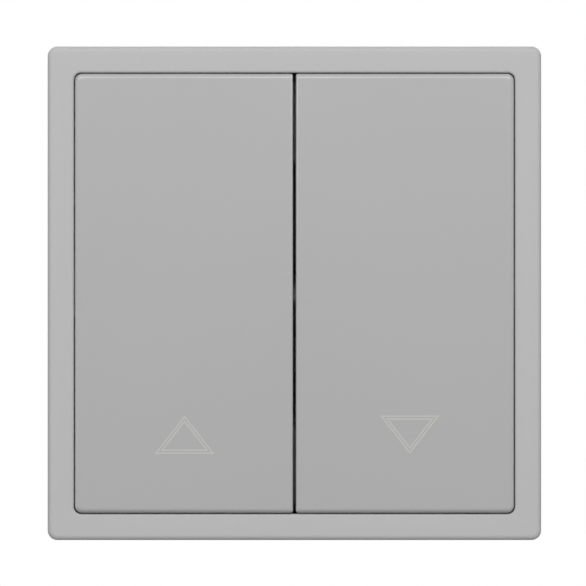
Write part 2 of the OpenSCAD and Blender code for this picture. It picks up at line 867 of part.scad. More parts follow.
// Spring between the plunger and the end of its bore
module plunger_spring() {
    mean_r = 1.5;
    wire_r = 0.2;
    turns = 5;
    low = pivot_z - barrel_l + plunger_in;
    in_wall() translate([pole_x, 0, low + spring_play])
        coil(mean_r, wire_r, turns, pivot_z - bore_top - low - 2 * spring_play);
}

module plunger_spring_up() {
    color("#c0c4c8") mirror([1, 0, 0]) plunger_spring();
}

module plunger_spring_down() {
    color("#c0c4c8") plunger_spring();
}

// Places a seesaw's own drawing on its knife edge, leaning on its lower arm
module on_knife() {
    in_wall() translate([pole_x, knife_y, knife_z]) rotate([flip_angle, 0, 0]) children();
}

// Seesaw contact: a strip that tips about the knife edge under its middle
module contact_rocker() {
    rim = 0.3;
    corner_r = 1;
    on_knife() {
        linear_extrude(strip_t) difference() {
            round_rect(strip_w, 2 * (contact_arm + tip_r + rim), corner_r);
            for (side = [-1, 1]) translate([0, side * contact_arm]) circle(stem_r + press_gap);
        }
        along_x(-strip_w / 2, strip_w / 2) intersection() {
            circle(knife_r);
            translate([-knife_r, -knife_r]) square([2 * knife_r, knife_r + lap]);
        }
    }
}

module contact_rocker_up() {
    color("#c8903c") mirror([1, 0, 0]) contact_rocker();
}

module contact_rocker_down() {
    color("#c8903c") contact_rocker();
}

// Domed silver tips, riveted through the seesaw
module moving_tips() {
    stem_end = 0.1;
    on_knife() for (side = [-1, 1]) translate([0, side * contact_arm, 0]) {
        intersection() {
            translate([0, 0, dome_r - tip_h]) sphere(dome_r, $fn = 120);
            translate([0, 0, -tip_h]) cylinder(r = tip_r, h = tip_h);
        }
        translate([0, 0, -stem_end]) cylinder(r = stem_r, h = strip_t + 2 * stem_end);
    }
}

module moving_tips_up() {
    color("#d9dadb") mirror([1, 0, 0]) moving_tips();
}

module moving_tips_down() {
    color("#d9dadb") moving_tips();
}

// Upright that carries a seesaw in the groove along its top
module knife_bearing(x, from_z) {
    half_w = 2;
    half_t = 0.8;
    groove_d = 0.15;
    difference() {
        box([x - half_w, x + half_w], [knife_y - half_t, knife_y + half_t],
            [from_z, knife_z - groove_d]);
        along_x(x - half_w - cut, x + half_w + cut) translate([knife_y, knife_z])
            circle(knife_r + running_fit);
    }
}

// Bus bar of a terminal, bent over the cross wall and down to the given height
module bus_strip(low_z, last) {
    bus_end = floor_z + 5.2;
    bends = [[bus_y, bus_end], [bus_y, bridge_z], [riser_y, bridge_z], [riser_y, low_z]];
    along_x(-strip_w / 2, strip_w / 2) bent_strip(concat(bends, last), strip_t);
}

// Line terminal: feeds the seesaw of the up pole
module line_contact() {
    levels = [floor_z, floor_z + strip_t];
    lane_w = 3.5;
    lane_end = -web_t / 2 - 0.4;
    lane = [lane_end - lane_w, lane_end];
    cross_w = 2.2;
    foot_half = 1.6;
    foot_over = 2.2;
    color("#c8903c") in_wall() {
        bus_strip(floor_z + strip_t / 2, []);
        box([lane[0], strip_w / 2], [riser_y - strip_t / 2 - cross_w, riser_y], levels);
        box(lane, [knife_y - foot_half, riser_y], levels);
        box([-pole_x - foot_over, lane[1]], [knife_y - foot_half, knife_y + foot_half], levels);
        knife_bearing(-pole_x, levels[1] - lap);
    }
}

// Break contact of the up pole, joined to the seesaw of the down pole
module interlock_link() {
    pad = [-pole_x - strip_w / 2, -pole_x + strip_w / 2];
    pad_over = 1.8;
    arm_half = 0.8;
    arm_over = 2;
    arm = [knife_y - arm_half, knife_y + arm_half];
    levels = [strip_z, strip_z + strip_t];
    color("#b9812f") in_wall() {
        box(pad, [link_bar_y[0], break_y + pad_over], levels);
        box([pad[0], link_run_x[1]], link_bar_y, levels);
        box(link_run_x, [link_bar_y[0], arm[1]], levels);
        box([link_run_x[0], pole_x + arm_over], arm, levels);
        knife_bearing(pole_x, strip_z);
    }
}

// Bus bar of a switched terminal, with its foot under the seesaw's far tip
module make_contact() {
    level = strip_z + strip_t / 2;
    foot_over = 1.8;
    in_wall() translate([pole_x, 0, 0]) bus_strip(level, [[make_y - foot_over, level]]);
}

module make_contact_up() {
    color("#c8903c") mirror([1, 0, 0]) make_contact();
}

module make_contact_down() {
    color("#c8903c") make_contact();
}

// Flat silver tips of the two make contacts and the break contact
module fixed_tips() {
    spots = [[-pole_x, make_y], [pole_x, make_y], [-pole_x, break_y]];
    wider = 0.1;
    color("#d9dadb") in_wall() for (spot = spots)
        translate([spot[0], spot[1], strip_z + strip_t]) cylinder(r = tip_r + wider, h = tip_h);
}

// Clamping spring: a V of spring steel whose long leg holds the wires on the bus bar
module terminal_spring(x) {
    t = 0.5;
    half_w = 3.4;
    bend = [button_y, bend_z];
    leg = [button_y - bend_r, bridge_z - 3];
    tongue = [bus_y - strip_t / 2 - 0.5, floor_z + 9.6];
    color("#a8adb2") in_wall() along_x(x - half_w, x + half_w) {
        bent_strip([bend + [-bend_r, 0], leg], t);
        bent_strip([bend + [bend_r, 0], tongue], t);
        translate(bend) intersection() {
            difference() {
                circle(bend_r + t / 2);
                circle(bend_r - t / 2);
            }
            translate([-2, -2]) square([4, 2]);
        }
    }
}

module terminal_spring_up() {
    terminal_spring(terminal_x[0]);
}

module terminal_spring_line() {
    terminal_spring(terminal_x[1]);
}

module terminal_spring_down() {
    terminal_spring(terminal_x[2]);
}

// Button in the rear wall that opens the clamping spring of one terminal
module release_button(x) {
    sunk = 0.3;
    proud = release_travel - sunk;
    nose_z = bend_z - bend_r - 0.45;
    collar = 0.6;
    color("#e08a2c") in_wall() {
        box([x - button_w / 2, x + button_w / 2], [button_y - button_h / 2, button_y + button_h / 2],
            [-housing_depth - proud, nose_z]);
        box([x - button_w / 2 - collar, x + button_w / 2 + collar],
            [button_y - button_h / 2, button_y + button_h / 2], [floor_z + seat_gap, nose_z]);
    }
}

module release_button_up() {
    release_button(terminal_x[0]);
}

module release_button_line() {
    release_button(terminal_x[1]);
}

module release_button_down() {
    release_button(terminal_x[2]);
}

// Block with two wire ports, each narrowing to the hole for the bare conductor
module port_block(x) {
    inside = 0.8;
    back = -housing_depth - port_proud;
    front = floor_z + inside;
    rows = [port_y - block_h / 2, port_y + block_h / 2];
    color("#f2f1ec") in_wall() difference() {
        box([x - block_w / 2, x + block_w / 2], rows, [back, front]);
        for (side = [-1, 1]) translate([x + side * port_pitch / 2, port_y, back - cut]) {
            cylinder(r = port_r, h = port_depth + cut);
            cylinder(r = wire_r, h = front - back + 2 * cut);
        }
    }
}

module port_block_up() {
    port_block(terminal_x[0]);
}

module port_block_line() {
    port_block(terminal_x[1]);
}

module port_block_down() {
    port_block(terminal_x[2]);
}

// Spreading claw: two cheeks on the nut's trunnions, an outer leg and a toothed foot
module claw() {
    cheek_in = nut_h / 2 + cheek_gap;
    cheek_r = 1.9;
    leg_in = nut_w / 2 + 0.6;
    leg_out = leg_in + claw_t;
    leg_top = 1.2;
    gusset = [[0, leg_top], [leg_out - lap, leg_top], [leg_out - lap, -5], [leg_in, -5], [-1, -1.4]];
    half = cheek_in + claw_t;
    teeth = 4;
    tooth_w = 2 * half / teeth;
    in_wall() translate([claw_x, 0, -claw_drop]) {
        difference() {
            union() {
                for (from = [-half, cheek_in]) along_y(from, from + claw_t) {
                    circle(cheek_r);
                    polygon(gusset);
                }
                box([leg_in, leg_out], [-half, half], [-claw_l, leg_top]);
            }
            along_y(-half - cut, half + cut) circle(trunnion_r + running_fit);
        }
        for (i = [0:teeth - 1]) translate([leg_out - lap, (i + 0.5) * tooth_w - half, -claw_l])
            linear_extrude(claw_t) polygon([[0, -tooth_w / 2], [tooth_out, 0], [0, tooth_w / 2]]);
        box([leg_out - lap, leg_out + cut], [-half, half], [-claw_l, -claw_l + claw_t]);
    }
}

module claw_left() {
    color("#b4b8bb") mirror([1, 0, 0]) claw();
}

module claw_right() {
    color("#b4b8bb") claw();
}

// Steel nut that runs along the claw screw, with a trunnion at each end
module claw_nut() {
    reach = nut_h / 2 + cheek_gap + claw_t;
    in_wall() translate([claw_x, 0, -claw_drop]) difference() {
        union() {
            cube([nut_w, nut_h, nut_t], center = true);
            along_y(-reach, reach) circle(trunnion_r);
        }
        translate([0, 0, -nut_t]) cylinder(r = claw_screw_r + running_fit, h = 2 * nut_t);
    }
}

module claw_nut_left() {
    color("#9aa0a6") mirror([1, 0, 0]) claw_nut();
}

module claw_nut_right() {
    color("#9aa0a6") claw_nut();
}

// Screw that turns in the plate and draws its nut forward
module claw_screw() {
    head_r = 2.5;
    head_h = 1.8;
    head_z = plate_t + seat_gap;
    point_l = 1;
    in_wall() translate([claw_x, 0, 0]) difference() {
        union() {
            translate([0, 0, point_l - claw_screw_l])
                cylinder(r = claw_screw_r, h = claw_screw_l - point_l + head_z + lap);
            translate([0, 0, -claw_screw_l])
                cylinder(r1 = 0.6 * claw_screw_r, r2 = claw_screw_r, h = point_l);
            translate([0, 0, head_z]) cylinder(r = head_r, h = head_h);
        }
        translate([0, 0, head_z + head_h]) cross_recess(3.4, 1.1);
    }
}

module claw_screw_left() {
    color("#c2c6c9") mirror([1, 0, 0]) claw_screw();
}

module claw_screw_right() {
    color("#c2c6c9") claw_screw();
}

cover_frame();
rocker_up();
rocker_down();
support_plate();
frame_spring_left();
frame_spring_right();
spring_rivets();
base_housing();
bearing_cover();
cover_screws();
pivot_pin();
actuator_up();
actuator_down();
return_spring_up();
return_spring_down();
plunger_up();
plunger_down();
plunger_spring_up();
plunger_spring_down();
contact_rocker_up();
contact_rocker_down();
moving_tips_up();
moving_tips_down();
line_contact();
interlock_link();
make_contact_up();
make_contact_down();
fixed_tips();
terminal_spring_up();
terminal_spring_line();
terminal_spring_down();
release_button_up();
release_button_line();
release_button_down();
port_block_up();
port_block_line();
port_block_down();
claw_left();
claw_right();
claw_nut_left();
claw_nut_right();
claw_screw_left();
claw_screw_right();
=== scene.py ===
"""Looks of a flush roller shutter switch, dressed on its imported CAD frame.

Sizes are in metres, in the frame's own axes: the switch faces -Y, and Z is up.
Each sub-assembly is a class that holds its sizes and builds and dresses its own pieces.
"""

import json
import logging
import math
from abc import ABC, abstractmethod
from dataclasses import dataclass, field
from enum import Enum
from typing import ClassVar

import bmesh
import bpy
from mathutils import Matrix, Vector


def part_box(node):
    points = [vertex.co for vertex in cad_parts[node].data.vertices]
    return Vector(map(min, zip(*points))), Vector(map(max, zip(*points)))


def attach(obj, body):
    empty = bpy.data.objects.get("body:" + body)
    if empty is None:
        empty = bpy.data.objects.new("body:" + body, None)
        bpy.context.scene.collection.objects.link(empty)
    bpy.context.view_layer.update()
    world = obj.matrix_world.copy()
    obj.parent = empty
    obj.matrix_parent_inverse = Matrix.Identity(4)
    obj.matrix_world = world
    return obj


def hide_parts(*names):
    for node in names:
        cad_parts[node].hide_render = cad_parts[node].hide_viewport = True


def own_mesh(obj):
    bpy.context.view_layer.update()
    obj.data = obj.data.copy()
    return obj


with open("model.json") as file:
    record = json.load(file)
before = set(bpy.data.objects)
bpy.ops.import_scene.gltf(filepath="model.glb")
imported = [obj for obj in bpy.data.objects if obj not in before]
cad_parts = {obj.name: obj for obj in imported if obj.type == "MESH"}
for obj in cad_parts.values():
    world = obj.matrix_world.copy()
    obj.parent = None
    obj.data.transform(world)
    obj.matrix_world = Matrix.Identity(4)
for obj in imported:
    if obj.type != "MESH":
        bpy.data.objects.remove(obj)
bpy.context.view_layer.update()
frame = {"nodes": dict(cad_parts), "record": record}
SLOT_OF_NODE = {part["node"]: part["material_slot"] for part in frame["record"]["subparts"]}
MM = 0.001
log = logging.getLogger("shutter_switch")

Point = tuple[float, float, float]
Profile = list[tuple[float, float]]


class Pole(Enum):
    """The two poles of the switch, with the side of the centre line that each is on."""

    UP = -1
    DOWN = 1

    @property
    def word(self) -> str:
        """Returns the pole's word in piece and body names."""
        return self.name.lower()


class Side(Enum):
    """The two sides of the switch, as seen from the room."""

    LEFT = -1
    RIGHT = 1

    @property
    def word(self) -> str:
        """Returns the side's word in piece and body names."""
        return self.name.lower()


class Grain(Enum):
    """Surfaces that the moulds leave, with the size of their grain and its depth."""

    SPARK_MATT = (0.16 * MM, 0.0045 * MM)
    FINE_SATIN = (0.10 * MM, 0.0012 * MM)
    SMOOTH = (0.25 * MM, 0.0015 * MM)

    @property
    def size(self) -> float:
        """Returns the width of one grain."""
        return self.value[0]

    @property
    def depth(self) -> float:
        """Returns the height of the grain."""
        return self.value[1]


def srgb(level: float) -> float:
    """Turns a colour level as a screen shows it into a linear one, by the sRGB curve.

    Args:
        level: The level from 0 to 255.

    Returns:
        The linear level from 0 to 1.
    """
    share = level / 255.0
    if share <= 0.04045:
        return share / 12.92
    return ((share + 0.055) / 1.055) ** 2.4


def screen_colour(red: float, green: float, blue: float) -> Point:
    """Gives the linear colour that a screen shows as these levels.

    Args:
        red: Red level from 0 to 255.
        green: Green level from 0 to 255.
        blue: Blue level from 0 to 255.

    Returns:
        The linear colour.
    """
    return srgb(red), srgb(green), srgb(blue)


def socket(group: bpy.types.NodeTree, name: str, way: str, kind: str,
           value: float | None = None) -> None:
    """Adds a named socket to a node group.

    Args:
        group: The node group.
        name: Name of the socket.
        way: INPUT or OUTPUT.
        kind: Socket type, such as NodeSocketFloat.
        value: Value that the socket starts with.
    """
    made = group.interface.new_socket(name, in_out=way, socket_type=kind)
    if value is not None:
        made.default_value = value


def math_node(tree: bpy.types.NodeTree, operation: str, first: bpy.types.NodeSocket | float,
              second: bpy.types.NodeSocket | float) -> bpy.types.NodeSocket:
    """Adds a Math node.

    Args:
        tree: Tree that gets the node.
        operation: The node's operation.
        first: A socket or a number.
        second: A socket or a number.

    Returns:
        The node's output.
    """
    node = tree.nodes.new("ShaderNodeMath")
    node.operation = operation
    for place, value in enumerate((first, second)):
        if isinstance(value, bpy.types.NodeSocket):
            tree.links.new(value, node.inputs[place])
        else:
            node.inputs[place].default_value = value
    return node.outputs[0]


class MouldGrain:
    """Node group of a moulded plastic: its spark-eroded grain and the slow drift of its tone."""

    NAME = "mould_grain"
    FLOW_SIZE = 30 * MM
    FLOW_DETAIL = 2.0

    @classmethod
    def group(cls) -> bpy.types.NodeTree:
        """Gives the group, and builds it the first time.

        Returns:
            The group, with inputs Vector, Grain Size and Flow Size, and outputs Height and Tone.
        """
        found = bpy.data.node_groups.get(cls.NAME)
        if found:
            return found
        tree = bpy.data.node_groups.new(cls.NAME, "ShaderNodeTree")
        socket(tree, "Vector", "INPUT", "NodeSocketVector")
        socket(tree, "Grain Size", "INPUT", "NodeSocketFloat", Grain.FINE_SATIN.size)
        socket(tree, "Flow Size", "INPUT", "NodeSocketFloat", cls.FLOW_SIZE)
        socket(tree, "Height", "OUTPUT", "NodeSocketFloat")
        socket(tree, "Tone", "OUTPUT", "NodeSocketFloat")
        start = tree.nodes.new("NodeGroupInput")
        end = tree.nodes.new("NodeGroupOutput")
        grain = tree.nodes.new("ShaderNodeTexVoronoi")
        grain.feature = "SMOOTH_F1"
        flow = tree.nodes.new("ShaderNodeTexNoise")
        flow.inputs["Detail"].default_value = cls.FLOW_DETAIL
        for texture, name in ((grain, "Grain Size"), (flow, "Flow Size")):
            tree.links.new(start.outputs["Vector"], texture.inputs["Vector"])
            scale = math_node(tree, "DIVIDE", 1.0, start.outputs[name])
            tree.links.new(scale, texture.inputs["Scale"])
        tree.links.new(grain.outputs["Distance"], end.inputs["Height"])
        tree.links.new(flow.outputs["Fac"], end.inputs["Tone"])
        return tree


class RolledMetal:
    """Node group of rolled and plated sheet: fine lines along the rolling and cloudy patches."""

    NAME = "rolled_metal"
    LINE_SIZE = 0.1 * MM
    PATCH_SIZE = 4 * MM
    PATCH_DETAIL = 3.0
    ALONG_ROLLING = (0.05, 1.0, 1.0)

    @classmethod
    def group(cls) -> bpy.types.NodeTree:
        """Gives the group, and builds it the first time.

        Returns:
            The group, with inputs Vector, Line Size and Patch Size, and outputs Lines and Patches.
        """
        found = bpy.data.node_groups.get(cls.NAME)
        if found:
            return found
        tree = bpy.data.node_groups.new(cls.NAME, "ShaderNodeTree")
        socket(tree, "Vector", "INPUT", "NodeSocketVector")
        socket(tree, "Line Size", "INPUT", "NodeSocketFloat", cls.LINE_SIZE)
        socket(tree, "Patch Size", "INPUT", "NodeSocketFloat", cls.PATCH_SIZE)
        socket(tree, "Lines", "OUTPUT", "NodeSocketFloat")
        socket(tree, "Patches", "OUTPUT", "NodeSocketFloat")
        start = tree.nodes.new("NodeGroupInput")
        end = tree.nodes.new("NodeGroupOutput")
        stretch = tree.nodes.new("ShaderNodeMapping")
        stretch.inputs["Scale"].default_value = cls.ALONG_ROLLING
        lines = tree.nodes.new("ShaderNodeTexNoise")
        patches = tree.nodes.new("ShaderNodeTexNoise")
        patches.inputs["Detail"].default_value = cls.PATCH_DETAIL
        tree.links.new(start.outputs["Vector"], stretch.inputs["Vector"])
        tree.links.new(stretch.outputs["Vector"], lines.inputs["Vector"])
        tree.links.new(start.outputs["Vector"], patches.inputs["Vector"])
        for texture, name in ((lines, "Line Size"), (patches, "Patch Size")):
            scale = math_node(tree, "DIVIDE", 1.0, start.outputs[name])
            tree.links.new(scale, texture.inputs["Scale"])
        tree.links.new(lines.outputs["Fac"], end.inputs["Lines"])
        tree.links.new(patches.outputs["Fac"], end.inputs["Patches"])
        return tree


@dataclass(frozen=True)
class Finish(ABC):
    """A finish that pieces of one material slot share.

    Attributes:
        name: Name of the material.
        colour: Linear colour of the surface.
        roughness: Middle of the surface's roughness.
    """

    name: str
    colour: Point
    roughness: float

    def material(self) -> bpy.types.Material:
        """Gives the finish's material, and builds it the first time.

        Returns:
            The material.
        """
        found = bpy.data.materials.get(self.name)
        if found:
            return found
        made = bpy.data.materials.new(self.name)
        made.use_nodes = True
        tree = made.node_tree
        surface = tree.nodes["Principled BSDF"]
        place = tree.nodes.new("ShaderNodeTexCoord")
        self.dress(tree, surface, place.outputs["Object"])
        made.diffuse_color = (*self.colour, 1.0)
        return made

    @abstractmethod
    def dress(self, tree: bpy.types.NodeTree, surface: bpy.types.Node,
              place: bpy.types.NodeSocket) -> None:
        """Wires the finish into its material.

        Args:
            tree: The material's node tree.
            surface: The Principled BSDF node.
            place: Object coordinates.
        """

    def shade(self, tree: bpy.types.NodeTree, surface: bpy.types.Node,
              tone: bpy.types.NodeSocket, drift: float) -> None:
        """Lets the colour drift a little round the finish's own.

        Args:
            tree: The material's node tree.
            surface: The Principled BSDF node.
            tone: Mask from 0 to 1 with its middle at 0.5.
            drift: Share of the colour by which it drifts either way.
        """
        mix = tree.nodes.new("ShaderNodeMix")
        mix.data_type = "RGBA"
        darker, lighter = (tuple(level * share for level in self.colour)
                           for share in (1 - drift, 1 + drift))
        mix.inputs["A"].default_value = (*darker, 1.0)
        mix.inputs["B"].default_value = (*lighter, 1.0)
        tree.links.new(tone, mix.inputs["Factor"])
        tree.links.new(mix.outputs["Result"], surface.inputs["Base Color"])

    def roughen(self, tree: bpy.types.NodeTree, surface: bpy.types.Node,
                mask: bpy.types.NodeSocket, spread: float) -> None:
        """Lets the roughness drift round its middle.

        Args:
            tree: The material's node tree.
            surface: The Principled BSDF node.
            mask: Mask from 0 to 1 with its middle at 0.5.
            spread: How far the roughness drifts either way.
        """
        spread_map = tree.nodes.new("ShaderNodeMapRange")
        spread_map.inputs["To Min"].default_value = self.roughness - spread
        spread_map.inputs["To Max"].default_value = self.roughness + spread
        tree.links.new(mask, spread_map.inputs["Value"])
        tree.links.new(spread_map.outputs["Result"], surface.inputs["Roughness"])

    def emboss(self, tree: bpy.types.NodeTree, surface: bpy.types.Node,
               height: bpy.types.NodeSocket, depth: float) -> None:
        """Raises the surface by a mask.

        Args:
            tree: The material's node tree.
            surface: The Principled BSDF node.
            height: Mask from 0 to 1.
            depth: Height in metres where the mask is 1.
        """
        bump = tree.nodes.new("ShaderNodeBump")
        bump.inputs["Distance"].default_value = depth
        tree.links.new(height, bump.inputs["Height"])
        tree.links.new(bump.outputs["Normal"], surface.inputs["Normal"])


@dataclass(frozen=True)
class MouldedPlastic(Finish):
    """Moulded plastic with the grain of its mould.

    Attributes:
        grain: Surface that the mould leaves.
        gloss: Specular level of the surface.
        TONE_DRIFT: Share of the colour by which the tone drifts.
        SPREAD: How far the roughness drifts with the grain.
    """

    TONE_DRIFT: ClassVar[float] = 0.003
    SPREAD: ClassVar[float] = 0.03
    grain: Grain = Grain.FINE_SATIN
    gloss: float = 0.4

    def dress(self, tree: bpy.types.NodeTree, surface: bpy.types.Node,
              place: bpy.types.NodeSocket) -> None:
        """Wires grain, tone and gloss. See Finish.dress."""
        grain = tree.nodes.new("ShaderNodeGroup")
        grain.node_tree = MouldGrain.group()
        grain.inputs["Grain Size"].default_value = self.grain.size
        grain.inputs["Flow Size"].default_value = MouldGrain.FLOW_SIZE
        tree.links.new(place, grain.inputs["Vector"])
        surface.inputs["Specular IOR Level"].default_value = self.gloss
        self.shade(tree, surface, grain.outputs["Tone"], self.TONE_DRIFT)
        self.roughen(tree, surface, grain.outputs["Height"], self.SPREAD)
        self.emboss(tree, surface, grain.outputs["Height"], self.grain.depth)


@dataclass(frozen=True)
class SheetMetal(Finish):
    """Rolled, drawn or plated metal.

    Attributes:
        patchiness: Share by which the colour drifts in patches.
        line_size: Width of the fine rolling lines.
        patch_size: Width of the patches.
        LINE_DEPTH: Depth of the rolling lines.
        SPREAD: How far the roughness drifts along the lines.
    """

    LINE_DEPTH: ClassVar[float] = 0.002 * MM
    SPREAD: ClassVar[float] = 0.08
    patchiness: float = 0.06
    line_size: float = 0.12 * MM
    patch_size: float = 4 * MM

    def dress(self, tree: bpy.types.NodeTree, surface: bpy.types.Node,
              place: bpy.types.NodeSocket) -> None:
        """Wires rolling lines and patches. See Finish.dress."""
        sheet = tree.nodes.new("ShaderNodeGroup")
        sheet.node_tree = RolledMetal.group()
        sheet.inputs["Line Size"].default_value = self.line_size
        sheet.inputs["Patch Size"].default_value = self.patch_size
        tree.links.new(place, sheet.inputs["Vector"])
        surface.inputs["Metallic"].default_value = 1.0
        self.shade(tree, surface, sheet.outputs["Patches"], self.patchiness)
        self.roughen(tree, surface, sheet.outputs["Lines"], self.SPREAD)
        self.emboss(tree, surface, sheet.outputs["Lines"], self.LINE_DEPTH)


@dataclass(frozen=True)
class FinishCard:
    """The finishes of the switch.

    Attributes:
        slots: Finish of each material slot in the record.
        mark: Finish of the triangles on the rockers, lighter than the rocker partly as their own
            engraved tone and partly as a painted highlight for the light that the edges of the
            outlines catch.
        terminal_mark: Finish of the small triangles beside the terminals.
    """

    slots: dict[str, Finish] = field(default_factory=lambda: {
        "cover_plastic": MouldedPlastic("cover_plastic_matt", screen_colour(188, 188, 188), 0.7,
                                        Grain.SPARK_MATT, 0.02),
        "rocker_plastic": MouldedPlastic("rocker_plastic_satin", screen_colour(168, 168, 168), 0.3,
                                         Grain.FINE_SATIN, 0.7),
        "housing_plastic": MouldedPlastic("housing_plastic", screen_colour(228, 227, 220), 0.46,
                                          Grain.SMOOTH),
        "bearing_plastic": MouldedPlastic("bearing_plastic", screen_colour(206, 205, 197), 0.6,
                                          Grain.SMOOTH, 0.05),
        "actuator_plastic": MouldedPlastic("actuator_plastic", screen_colour(198, 78, 52), 0.6,
                                           Grain.SMOOTH, 0.05),
        "plunger_plastic": MouldedPlastic("plunger_plastic", screen_colour(232, 230, 222), 0.3,
                                          Grain.SMOOTH),
        "port_plastic": MouldedPlastic("port_plastic", screen_colour(236, 236, 230), 0.44,
                                       Grain.SMOOTH),
        "button_plastic": MouldedPlastic("button_plastic", screen_colour(222, 138, 48), 0.4,
                                         Grain.SMOOTH),
        "plate_steel": SheetMetal("plate_steel_zinc", (0.45, 0.46, 0.47), 0.52, 0.08),
        "claw_steel": SheetMetal("claw_steel_zinc", (0.5, 0.51, 0.52), 0.4, 0.08),
        "screw_steel": SheetMetal("screw_steel_zinc", (0.6, 0.61, 0.62), 0.28, 0.04),
        "spring_steel": SheetMetal("spring_steel_drawn", (0.48, 0.49, 0.5), 0.26, 0.03),
        "pin_steel": SheetMetal("pin_steel_ground", (0.62, 0.62, 0.63), 0.2, 0.02),
        "contact_brass": SheetMetal("contact_brass_rolled", (0.67, 0.45, 0.17), 0.33, 0.08),
        "contact_copper": SheetMetal("contact_copper_rolled", (0.66, 0.38, 0.2), 0.34, 0.1),
        "tip_silver": SheetMetal("tip_silver_satin", (0.78, 0.78, 0.77), 0.24, 0.03),
    })
    # Painted highlight: the outlines' lighter colour partly stands in for the light caught by their
    # edges, on top of their own engraved tone.
    mark: Finish = MouldedPlastic("mark_line", screen_colour(188, 189, 184), 0.5, Grain.SMOOTH, 0.3)
    terminal_mark: Finish = MouldedPlastic("terminal_mark", screen_colour(96, 97, 99), 0.5,
                                           Grain.SMOOTH, 0.3)

    def dress_node(self, node: str, broken: float = 0.0) -> None:
        """Shades a CAD node smooth and gives it the finish of its slot in the record.

        Args:
            node: Name of the node.
            broken: Width of the small faces in place of sharp edges.
        """
        solid = frame["nodes"][node]
        SoftEdges.on(solid, broken)
        material = self.slots[SLOT_OF_NODE[node]].material()
        for place in solid.material_slots:
            place.material = material
        log.info("dressed %s", node)

    def dress_piece(self, piece: bpy.types.Object, slot_name: str,
                    finish: Finish | None = None) -> None:
        """Gives a new piece its finish and names its slot.

        Args:
            piece: The piece.
            slot_name: Slot of the record.
            finish: Finish to use in place of the slot's own.
        """
        piece.data.materials.clear()
        piece.data.materials.append((finish or self.slots[slot_name]).material())


class SoftEdges:
    """Geometry node group that joins a CAD node's faces and shades them smooth up to an angle."""

    NAME = "soft_edges"
    ANGLE = math.radians(28)
    JOIN = 0.002 * MM

    @classmethod
    def group(cls) -> bpy.types.NodeTree:
        """Gives the group, and builds it the first time.

        Returns:
            The group, from geometry to geometry.
        """
        found = bpy.data.node_groups.get(cls.NAME)
        if found:
            return found
        tree = bpy.data.node_groups.new(cls.NAME, "GeometryNodeTree")
        socket(tree, "Geometry", "INPUT", "NodeSocketGeometry")
        socket(tree, "Geometry", "OUTPUT", "NodeSocketGeometry")
        start = tree.nodes.new("NodeGroupInput")
        end = tree.nodes.new("NodeGroupOutput")
        join = tree.nodes.new("GeometryNodeMergeByDistance")
        join.inputs["Distance"].default_value = cls.JOIN
        faces = tree.nodes.new("GeometryNodeSetShadeSmooth")
        faces.domain = "FACE"
        faces.inputs["Shade Smooth"].default_value = True
        edges = tree.nodes.new("GeometryNodeSetShadeSmooth")
        edges.domain = "EDGE"
        edges.inputs["Shade Smooth"].default_value = False
        angle = tree.nodes.new("GeometryNodeInputMeshEdgeAngle")
        sharp = tree.nodes.new("FunctionNodeCompare")
        sharp.data_type = "FLOAT"
        sharp.operation = "GREATER_THAN"
        sharp.inputs["B"].default_value = cls.ANGLE
        tree.links.new(start.outputs["Geometry"], join.inputs["Geometry"])
        tree.links.new(join.outputs["Geometry"], faces.inputs["Geometry"])
        tree.links.new(faces.outputs["Geometry"], edges.inputs["Geometry"])
        tree.links.new(angle.outputs["Unsigned Angle"], sharp.inputs["A"])
        tree.links.new(sharp.outputs["Result"], edges.inputs["Selection"])
        tree.links.new(edges.outputs["Geometry"], end.inputs["Geometry"])
        return tree

    @classmethod
    def on(cls, piece: bpy.types.Object, broken: float = 0.0) -> None:
        """Shades a piece's rounded faces smooth, and breaks its sharp edges if asked to.

        Args:
            piece: The piece, whose own mesh stays as it is.
            broken: Width of the small faces in place of sharp edges.
        """
        normals = piece.data.attributes.get("custom_normal")
        if normals:
            piece.data.attributes.remove(normals)
        if broken > 0:
            weld = piece.modifiers.new("join_faces", "WELD")
            weld.merge_threshold = cls.JOIN
            bevel = piece.modifiers.new("broken_edges", "BEVEL")
            bevel.width = broken
            bevel.segments = 2
            bevel.limit_method = "ANGLE"
            bevel.angle_limit = cls.ANGLE
            bevel.use_clamp_overlap = True
        modifier = piece.modifiers.new("soft_edges", "NODES")
        modifier.node_group = cls.group()


def new_piece(name: str, points: list[Point], faces: list[tuple[int, ...]]) -> bpy.types.Object:
    """Makes an object from points and faces, with its normals outwards.

    Args:
        name: Name of the piece.
        points: Corners of the mesh.
        faces: Faces, by the numbers of their corners.

    Returns:
        The object, linked to the scene.
    """
    mesh = bpy.data.meshes.new(name)
    mesh.from_pydata(points, [], faces)
    shell = bmesh.new()
    shell.from_mesh(mesh)
    bmesh.ops.recalc_face_normals(shell, faces=shell.faces)
    shell.to_mesh(mesh)
    shell.free()
    piece = bpy.data.objects.new(name, mesh)
    bpy.context.scene.collection.objects.link(piece)
    return piece


def twin_of(node: str, name: str) -> bpy.types.Object:
    """Copies a CAD node's mesh into a new piece.

    Args:
        node: Name of the node.
        name: Name of the piece.

    Returns:
        The object, linked to the scene.
    """
    source = frame["nodes"][node]
    piece = bpy.data.objects.new(name, source.data.copy())
    bpy.context.scene.collection.objects.link(piece)
    return piece


def rings_to_faces(rings: int, around: int, closed: bool) -> list[tuple[int, ...]]:
    """Joins rings of points into faces.

    Args:
        rings: Number of rings.
        around: Points on each ring.
        closed: Whether the last ring joins the first; otherwise both ends get a cap.

    Returns:
        The faces.
    """
    faces = []
    for ring in range(rings if closed else rings - 1):
        here = ring * around
        there = (ring + 1) % rings * around
        for k in range(around):
            nxt = (k + 1) % around
            faces.append((here + k, there + k, there + nxt, here + nxt))
    if not closed:
        faces.append(tuple(range(around)))
        faces.append(tuple(range(rings * around - 1, (rings - 1) * around - 1, -1)))
    return faces


